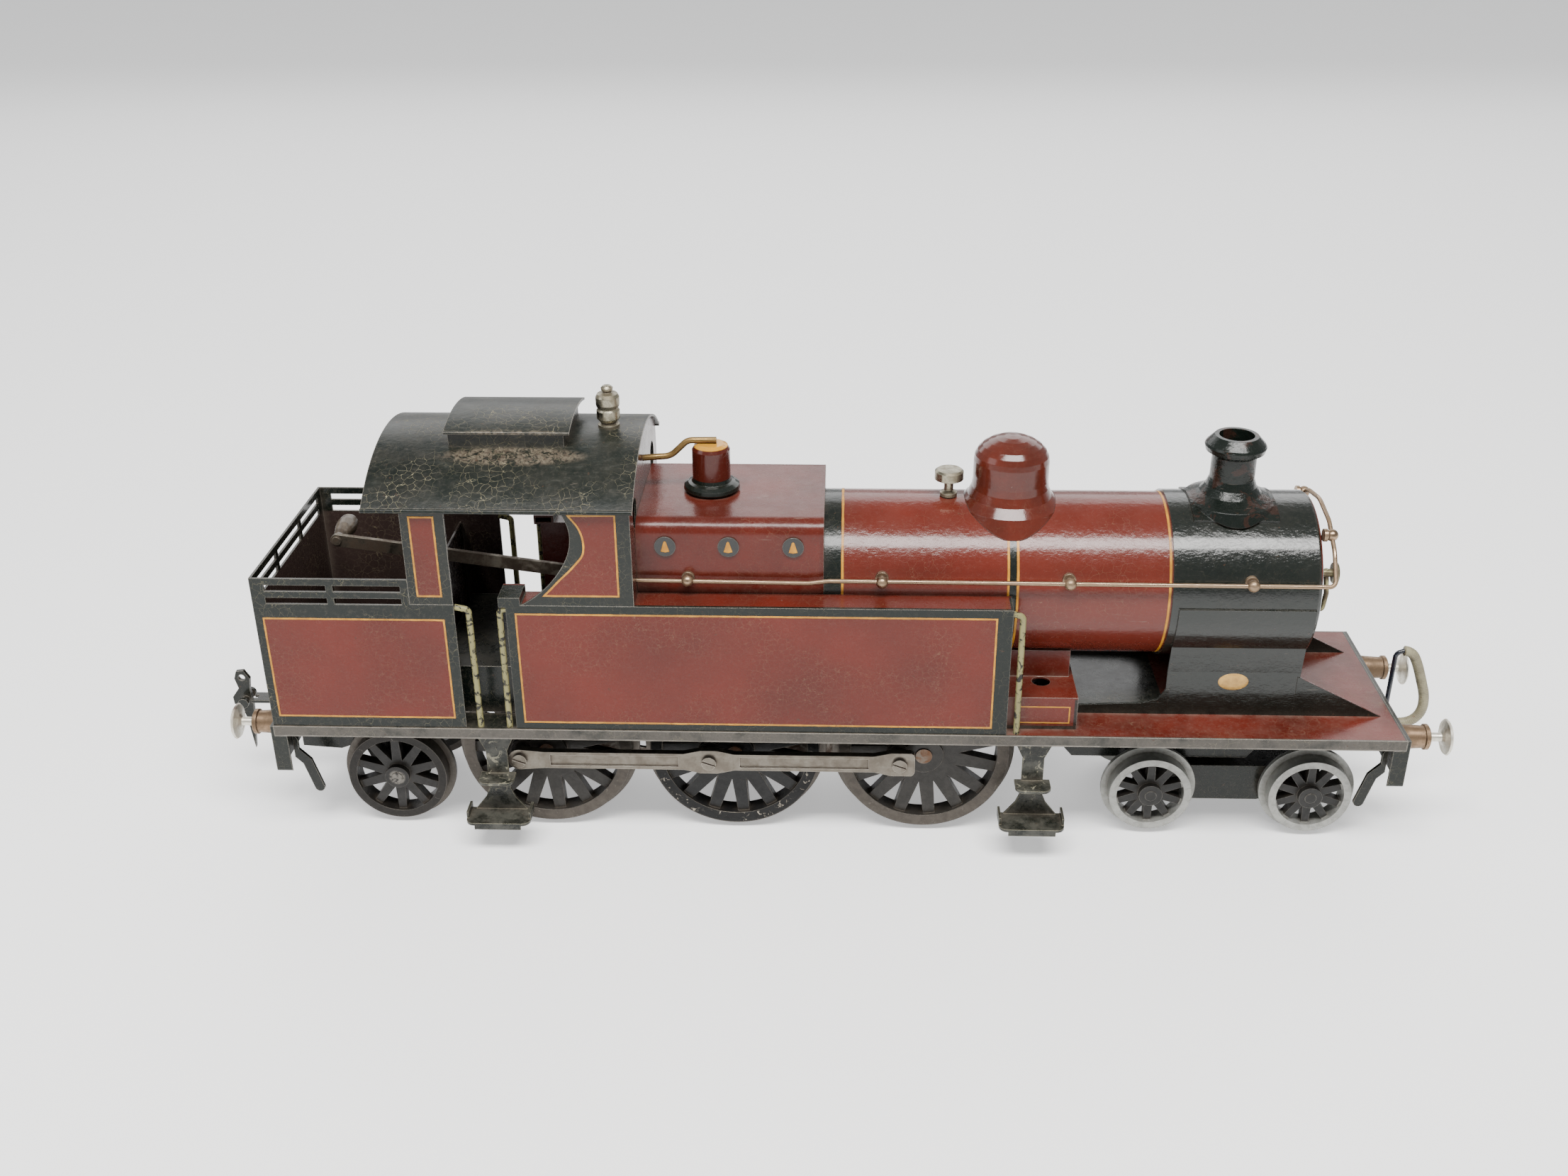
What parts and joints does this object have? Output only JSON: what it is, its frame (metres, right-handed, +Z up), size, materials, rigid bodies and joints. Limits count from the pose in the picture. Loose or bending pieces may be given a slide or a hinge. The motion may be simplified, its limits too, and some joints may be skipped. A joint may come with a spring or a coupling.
{
  "type": "clockwork tin locomotive",
  "caption": "Clockwork tinplate tank locomotive with a lined maroon body, open cab, dark smokebox, coupled driving wheels, a swivelling front bogie and a loose winding crank.",
  "frame": {"origin": "on the floor under the middle of the overall length and width", "axes": "+X towards the smokebox, +Z up, -Y the side seen in the picture"},
  "size_m": [0.4451, 0.093, 0.162],
  "materials": {
    "maroon_enamel": "glossy stoved maroon enamel with yellow and black lining, fine crazing and chips",
    "footplate_enamel": "worn maroon enamel above, black below",
    "black_enamel": "glossy black-green enamel, crazed",
    "roof_enamel": "black-green enamel with pale crazing and worn eaves",
    "step_enamel": "black enamel heavily chipped to cream primer",
    "chimney_black": "black enamel with reddish-brown wear",
    "wheel_black": "black painted casting, middle pair, tyre paint chipped",
    "wheel_brown": "aged brown-grey bare casting",
    "bogie_tyre": "black spoked centres with bright nickel tyres",
    "axle_steel": "dull drawn steel",
    "rod_steel": "nickel-plated steel strip, tarnished",
    "gear_brass": "dull brass",
    "plate_steel": "oiled steel plate",
    "spring_steel": "blued spring steel",
    "buffer_brass": "brown aged brass",
    "buffer_nickel": "dull nickel plate",
    "handrail_brass": "brown brass wire",
    "bright_brass": "worn bright brass",
    "cream_rail": "cream paint with black chips",
    "hose_black": "glossy blue-black enamel",
    "hose_cream": "ribbed cream-grey covered hose",
    "key_steel": "brown-grey oxidised steel",
    "key_grip": "dark turned grip"
  },
  "bodies": {
    "loco": {"footplate": "footplate_enamel", "buffer_beams": "black_enamel", "mechanism_plates": "plate_steel", "mechanism_pillars": "axle_steel", "mainspring": "spring_steel", "end_frames": "black_enamel", "bogie_pivot": "axle_steel", "footsteps": "step_enamel", "guard_irons": "step_enamel", "side_tanks": "maroon_enamel", "bunker": "maroon_enamel", "cab_shell": "maroon_enamel", "cab_roof": "roof_enamel", "roof_ventilator": "roof_enamel", "roof_whistle": "buffer_nickel", "firebox": "maroon_enamel", "washout_plugs": "black_enamel", "boiler": "maroon_enamel", "smokebox": "black_enamel", "smokebox_front": "black_enamel", "chimney": "chimney_black", "dome": "maroon_enamel", "steam_column": "maroon_enamel", "steam_pipe": "bright_brass", "handrail": "handrail_brass", "handrail_knobs": "handrail_brass", "grab_rails": "cream_rail", "cylinder_box": "maroon_enamel", "buffer_housings": "buffer_brass", "hook_bracket": "black_enamel", "hose_pipe": "hose_black", "brake_hose": "hose_cream"},
    "middle_axle": {"driving_wheels_middle": "wheel_black", "driving_axle_middle": "axle_steel", "crank_pins_middle": "rod_steel"},
    "front_axle": {"driving_wheels_front": "wheel_brown", "driving_axle_front": "axle_steel", "crank_pins_front": "rod_steel"},
    "rear_axle": {"driving_wheels_rear": "wheel_brown", "driving_axle_rear": "axle_steel", "crank_pins_rear": "rod_steel"},
    "rod_near": {"coupling_rod_near": "rod_steel"},
    "rod_far": {"coupling_rod_far": "rod_steel"},
    "barrel": {"great_wheel": "gear_brass", "spring_arbor": "axle_steel"},
    "second": {"second_wheel": "gear_brass"},
    "governor": {"governor": "axle_steel"},
    "trailing_axle": {"trailing_wheelset": "wheel_brown"},
    "bogie": {"bogie_frame": "black_enamel"},
    "bogie_axle_rear": {"bogie_wheelset_rear": "bogie_tyre"},
    "bogie_axle_front": {"bogie_wheelset_front": "bogie_tyre"},
    "buffer_fn": {"buffer_front_near": "buffer_nickel"},
    "buffer_ff": {"buffer_front_far": "buffer_nickel"},
    "buffer_rn": {"buffer_rear_near": "buffer_nickel"},
    "buffer_rf": {"buffer_rear_far": "buffer_nickel"},
    "hook": {"coupling_hook": "black_enamel"},
    "door_handle": {"door_handle": "bright_brass"},
    "thumb_screw": {"thumb_screw": "buffer_nickel"},
    "crank": {"winding_crank": "key_steel"},
    "grip": {"crank_grip": "key_grip"}
  },
  "joints": [
    {"name": "middle_axle_spin", "type": "hinge", "parent": "loco", "child": "middle_axle", "pos_m": [-0.03112, 0, 0.0328], "axis": [0, 1, 0], "continuous": true},
    {"name": "front_axle_spin", "type": "hinge", "parent": "loco", "child": "front_axle", "pos_m": [0.03669, 0, 0.0328], "axis": [0, 1, 0], "continuous": true},
    {"name": "rear_axle_spin", "type": "hinge", "parent": "loco", "child": "rear_axle", "pos_m": [-0.09892, 0, 0.0328], "axis": [0, 1, 0], "continuous": true},
    {"name": "rod_near_turn", "type": "hinge", "parent": "middle_axle", "child": "rod_near", "pos_m": [-0.03991, -0.0329, 0.0328], "axis": [0, 1, 0], "continuous": true},
    {"name": "rod_far_turn", "type": "hinge", "parent": "middle_axle", "child": "rod_far", "pos_m": [-0.03112, 0.0329, 0.0416], "axis": [0, 1, 0], "continuous": true},
    {"name": "great_wheel_spin", "type": "hinge", "parent": "loco", "child": "barrel", "pos_m": [-0.03112, 0, 0.075], "axis": [0, 1, 0], "continuous": true},
    {"name": "trailing_axle_spin", "type": "hinge", "parent": "loco", "child": "trailing_axle", "pos_m": [-0.15501, 0, 0.0203], "axis": [0, 1, 0], "continuous": true},
    {"name": "bogie_swivel", "type": "hinge", "parent": "loco", "child": "bogie", "pos_m": [0.10008, 0, 0.024], "axis": [0, 0, 1], "range_deg": [-2.5, 2.5]},
    {"name": "bogie_rear_spin", "type": "hinge", "parent": "bogie", "child": "bogie_axle_rear", "pos_m": [0.11879, 0, 0.017], "axis": [0, 1, 0], "continuous": true},
    {"name": "bogie_front_spin", "type": "hinge", "parent": "bogie", "child": "bogie_axle_front", "pos_m": [0.17578, 0, 0.017], "axis": [0, 1, 0], "continuous": true},
    {"name": "buffer_fn_slide", "type": "slide", "parent": "loco", "child": "buffer_fn", "axis": [-1, 0, 0], "range_m": [0, 0.003], "stiffness_N_per_m": 900, "springref_m": -0.001},
    {"name": "buffer_ff_slide", "type": "slide", "parent": "loco", "child": "buffer_ff", "axis": [-1, 0, 0], "range_m": [0, 0.003], "stiffness_N_per_m": 900, "springref_m": -0.001},
    {"name": "buffer_rn_slide", "type": "slide", "parent": "loco", "child": "buffer_rn", "axis": [1, 0, 0], "range_m": [0, 0.003], "stiffness_N_per_m": 900, "springref_m": -0.001},
    {"name": "buffer_rf_slide", "type": "slide", "parent": "loco", "child": "buffer_rf", "axis": [1, 0, 0], "range_m": [0, 0.003], "stiffness_N_per_m": 900, "springref_m": -0.001},
    {"name": "second_wheel_spin", "type": "hinge", "parent": "loco", "child": "second", "pos_m": [-0.01388, 0, 0.04804], "axis": [0, 1, 0], "continuous": true},
    {"name": "governor_spin", "type": "hinge", "parent": "loco", "child": "governor", "pos_m": [0.00397, 0, 0.05453], "axis": [0, 1, 0], "continuous": true},
    {"name": "hook_swing", "type": "hinge", "parent": "loco", "child": "hook", "pos_m": [-0.21741, 0, 0.0368], "axis": [0, 1, 0], "range_deg": [-20, 25]},
    {"name": "door_handle_turn", "type": "hinge", "parent": "loco", "child": "door_handle", "pos_m": [0.17838, 0, 0.0936], "axis": [1, 0, 0], "range_deg": [-80, 80]},
    {"name": "thumb_screw_turn", "type": "hinge", "parent": "loco", "child": "thumb_screw", "pos_m": [0.04349, 0, 0.124], "axis": [0, 0, 1], "continuous": true},
    {"name": "crank_lift", "type": "slide", "parent": "loco", "child": "crank", "axis": [0, 0, 1], "range_m": [0, 0.02]},
    {"name": "grip_spin", "type": "hinge", "parent": "crank", "child": "grip", "pos_m": [-0.17591, 0.014, 0.1006], "axis": [0, 1, 0], "continuous": true}
  ],
  "couplings": [
    {"joint": "front_axle_spin", "follows": "middle_axle_spin", "ratio": 1},
    {"joint": "rear_axle_spin", "follows": "middle_axle_spin", "ratio": 1},
    {"joint": "rod_near_turn", "follows": "middle_axle_spin", "ratio": -1},
    {"joint": "rod_far_turn", "follows": "middle_axle_spin", "ratio": -1},
    {"joint": "second_wheel_spin", "follows": "middle_axle_spin", "ratio": -0.53333},
    {"joint": "great_wheel_spin", "follows": "middle_axle_spin", "ratio": 0.098765},
    {"joint": "governor_spin", "follows": "middle_axle_spin", "ratio": 2}
  ]
}
